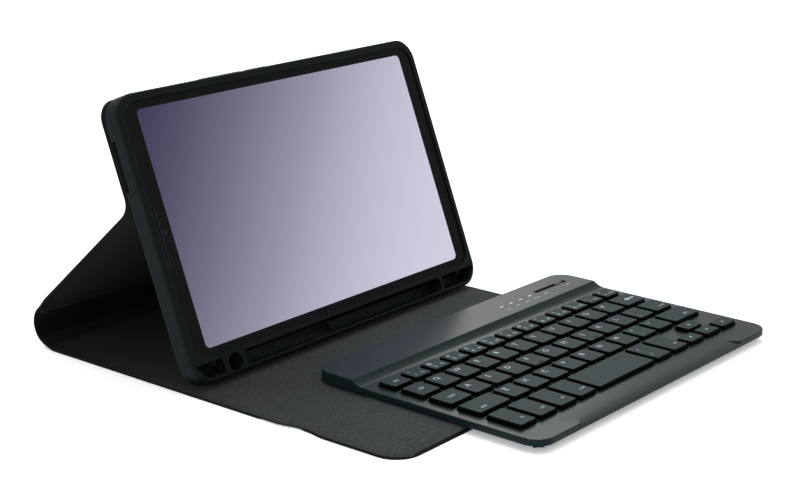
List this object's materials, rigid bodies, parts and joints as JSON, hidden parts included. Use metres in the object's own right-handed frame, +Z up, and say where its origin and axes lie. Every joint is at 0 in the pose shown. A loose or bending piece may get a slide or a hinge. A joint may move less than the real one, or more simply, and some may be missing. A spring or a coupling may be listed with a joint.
{
  "type": "tablet keyboard case",
  "caption": "Folio case holding a tablet in a moulded tray, with a folding stand back, a closing flap, a pen channel and a slim loose keyboard.",
  "frame": {"origin": "on the table under the middle of the screen's lower edge, on the underside of the front panel", "axes": "+X to the right, +Y to the back, +Z up"},
  "size_m": [0.2458, 0.2728, 0.133],
  "materials": {
    "leather": "fine grained black leather, semi-matt",
    "lining": "soft dark grey microfibre",
    "board": "raw grey fibre board, hidden",
    "steel": "plain bright steel",
    "tray": "satin moulded flexible plastic, blue black",
    "tablet_body": "matt dark grey",
    "front_glass": "polished black glass",
    "screen": "lit screen with soft violet bands",
    "camera": "polished lens",
    "keyboard_shell": "fine matt slate grey",
    "membrane": "clear film",
    "soft_rubber": "matt",
    "circuit": "green solder mask",
    "battery_wrap": "satin wrap",
    "light_window": "clear window",
    "switch": "satin light grey",
    "keycap": "fine matt grey"
  },
  "bodies": {
    "front_cover": {"front_cover_skin": "leather", "front_cover_board": "board", "front_cover_lining": "lining", "cover_magnets": "steel"},
    "spine": {"spine_skin": "leather", "spine_lining": "lining"},
    "lower_panel": {"lower_panel_skin": "leather", "lower_panel_board": "board", "lower_panel_lining": "lining"},
    "tray": {"upper_panel_skin": "leather", "upper_panel_board": "board", "tray_shell": "tray", "tray_rim": "tray"},
    "tablet": {"tablet_housing": "tablet_body", "tablet_glass": "front_glass", "tablet_display": "screen", "tablet_front_camera": "camera", "tablet_rear_camera": "camera"},
    "power_pad": {"tray_power_pad": "tray"},
    "volume_pad": {"tray_volume_pad": "tray"},
    "flap_strip": {"flap_strip_skin": "leather", "flap_strip_lining": "lining"},
    "closing_flap": {"flap_skin": "leather", "flap_board": "board", "flap_lining": "lining", "flap_magnets": "steel"},
    "keyboard": {"keyboard_top_shell": "keyboard_shell", "keyboard_bottom_shell": "keyboard_shell", "key_support_plate": "steel", "key_membrane": "membrane", "key_domes": "soft_rubber", "circuit_board": "circuit", "battery": "battery_wrap", "charging_port": "steel", "status_lights": "light_window", "keyboard_feet": "soft_rubber", "keyboard_screws": "steel", "keyboard_magnets": "steel"},
    "power_switch": {"power_switch_knob": "switch"},
    "numbers": {"key_numbers": "keycap"},
    "tab": {"key_tab": "keycap"},
    "top_letters": {"key_top_letters": "keycap"},
    "backspace": {"key_backspace": "keycap"},
    "caps": {"key_caps": "keycap"},
    "home_letters": {"key_home_letters": "keycap"},
    "enter": {"key_enter": "keycap"},
    "shift_left": {"key_shift_left": "keycap"},
    "bottom_letters": {"key_bottom_letters": "keycap"},
    "shift_right": {"key_shift_right": "keycap"},
    "modifiers_left": {"key_modifiers_left": "keycap"},
    "space": {"key_space": "keycap"},
    "modifiers_right": {"key_modifiers_right": "keycap"},
    "arrow_left": {"key_arrow_left": "keycap"},
    "arrow_down": {"key_arrow_down": "keycap"},
    "arrow_up": {"key_arrow_up": "keycap"},
    "arrow_right": {"key_arrow_right": "keycap"}
  },
  "joints": [
    {"name": "case_spine_fold", "type": "hinge", "parent": "front_cover", "child": "spine", "pos_m": [0, 0.098, 0.0013], "axis": [-1, 0, 0], "range_deg": [0, 32]},
    {"name": "case_stand_recline", "type": "hinge", "parent": "spine", "child": "lower_panel", "pos_m": [0, 0.1014, 0.0221], "axis": [-1, 0, 0], "range_deg": [-5.5, 22]},
    {"name": "case_crease_fold", "type": "hinge", "parent": "lower_panel", "child": "tray", "pos_m": [0, 0.03551, 0.08074], "axis": [-1, 0, 0], "range_deg": [-64.5, 16.3]},
    {"name": "keyboard_lift", "type": "slide", "parent": "front_cover", "child": "keyboard", "axis": [0, 0, 1], "range_m": [0, 0.15]},
    {"name": "case_flap_strip_fold", "type": "hinge", "parent": "front_cover", "child": "flap_strip", "pos_m": [0, -0.0435, 0.0013], "axis": [-1, 0, 0], "range_deg": [0, 75]},
    {"name": "case_closing_flap_fold", "type": "hinge", "parent": "flap_strip", "child": "closing_flap", "pos_m": [0, -0.066, 0.0013], "axis": [-1, 0, 0], "range_deg": [0, 35]},
    {"name": "keyboard_power_switch", "type": "slide", "parent": "keyboard", "child": "power_switch", "axis": [-0.9999, 0.0154, 0], "range_m": [0, 0.006]},
    {"name": "tablet_slide_out", "type": "slide", "parent": "tray", "child": "tablet", "axis": [0, -0.9298, 0.3681], "range_m": [0, 0.03], "deforming": ["tray_rim"]},
    {"name": "tray_power_button", "type": "slide", "parent": "tray", "child": "power_pad", "axis": [0, -0.3681, -0.9298], "range_m": [0, 0.0005], "stiffness_N_per_m": 800, "springref_m": -0.0005},
    {"name": "tray_volume_button", "type": "slide", "parent": "tray", "child": "volume_pad", "axis": [0, -0.3681, -0.9298], "range_m": [0, 0.0005], "stiffness_N_per_m": 800, "springref_m": -0.0005},
    {"name": "typing_numbers", "type": "slide", "parent": "keyboard", "child": "numbers", "axis": [0, 0, -1], "range_m": [0, 0.0012], "stiffness_N_per_m": 250, "springref_m": -0.001},
    {"name": "typing_tab", "type": "slide", "parent": "keyboard", "child": "tab", "axis": [0, 0, -1], "range_m": [0, 0.0012], "stiffness_N_per_m": 250, "springref_m": -0.001},
    {"name": "typing_top_letters", "type": "slide", "parent": "keyboard", "child": "top_letters", "axis": [0, 0, -1], "range_m": [0, 0.0012], "stiffness_N_per_m": 250, "springref_m": -0.001},
    {"name": "typing_backspace", "type": "slide", "parent": "keyboard", "child": "backspace", "axis": [0, 0, -1], "range_m": [0, 0.0012], "stiffness_N_per_m": 250, "springref_m": -0.001},
    {"name": "typing_caps", "type": "slide", "parent": "keyboard", "child": "caps", "axis": [0, 0, -1], "range_m": [0, 0.0012], "stiffness_N_per_m": 250, "springref_m": -0.001},
    {"name": "typing_home_letters", "type": "slide", "parent": "keyboard", "child": "home_letters", "axis": [0, 0, -1], "range_m": [0, 0.0012], "stiffness_N_per_m": 250, "springref_m": -0.001},
    {"name": "typing_enter", "type": "slide", "parent": "keyboard", "child": "enter", "axis": [0, 0, -1], "range_m": [0, 0.0012], "stiffness_N_per_m": 250, "springref_m": -0.001},
    {"name": "typing_shift_left", "type": "slide", "parent": "keyboard", "child": "shift_left", "axis": [0, 0, -1], "range_m": [0, 0.0012], "stiffness_N_per_m": 250, "springref_m": -0.001},
    {"name": "typing_bottom_letters", "type": "slide", "parent": "keyboard", "child": "bottom_letters", "axis": [0, 0, -1], "range_m": [0, 0.0012], "stiffness_N_per_m": 250, "springref_m": -0.001},
    {"name": "typing_shift_right", "type": "slide", "parent": "keyboard", "child": "shift_right", "axis": [0, 0, -1], "range_m": [0, 0.0012], "stiffness_N_per_m": 250, "springref_m": -0.001},
    {"name": "typing_modifiers_left", "type": "slide", "parent": "keyboard", "child": "modifiers_left", "axis": [0, 0, -1], "range_m": [0, 0.0012], "stiffness_N_per_m": 250, "springref_m": -0.001},
    {"name": "typing_space", "type": "slide", "parent": "keyboard", "child": "space", "axis": [0, 0, -1], "range_m": [0, 0.0012], "stiffness_N_per_m": 250, "springref_m": -0.001},
    {"name": "typing_modifiers_right", "type": "slide", "parent": "keyboard", "child": "modifiers_right", "axis": [0, 0, -1], "range_m": [0, 0.0012], "stiffness_N_per_m": 250, "springref_m": -0.001},
    {"name": "typing_arrow_left", "type": "slide", "parent": "keyboard", "child": "arrow_left", "axis": [0, 0, -1], "range_m": [0, 0.0012], "stiffness_N_per_m": 250, "springref_m": -0.001},
    {"name": "typing_arrow_down", "type": "slide", "parent": "keyboard", "child": "arrow_down", "axis": [0, 0, -1], "range_m": [0, 0.0012], "stiffness_N_per_m": 250, "springref_m": -0.001},
    {"name": "typing_arrow_up", "type": "slide", "parent": "keyboard", "child": "arrow_up", "axis": [0, 0, -1], "range_m": [0, 0.0012], "stiffness_N_per_m": 250, "springref_m": -0.001},
    {"name": "typing_arrow_right", "type": "slide", "parent": "keyboard", "child": "arrow_right", "axis": [0, 0, -1], "range_m": [0, 0.0012], "stiffness_N_per_m": 250, "springref_m": -0.001}
  ],
  "couplings": [
    {"joint": "case_crease_fold", "follows": "case_stand_recline", "ratio": -2.92},
    {"joint": "case_flap_strip_fold", "follows": "keyboard_lift", "rad_per_m": 8.7},
    {"joint": "case_closing_flap_fold", "follows": "keyboard_lift", "rad_per_m": 4.05}
  ]
}
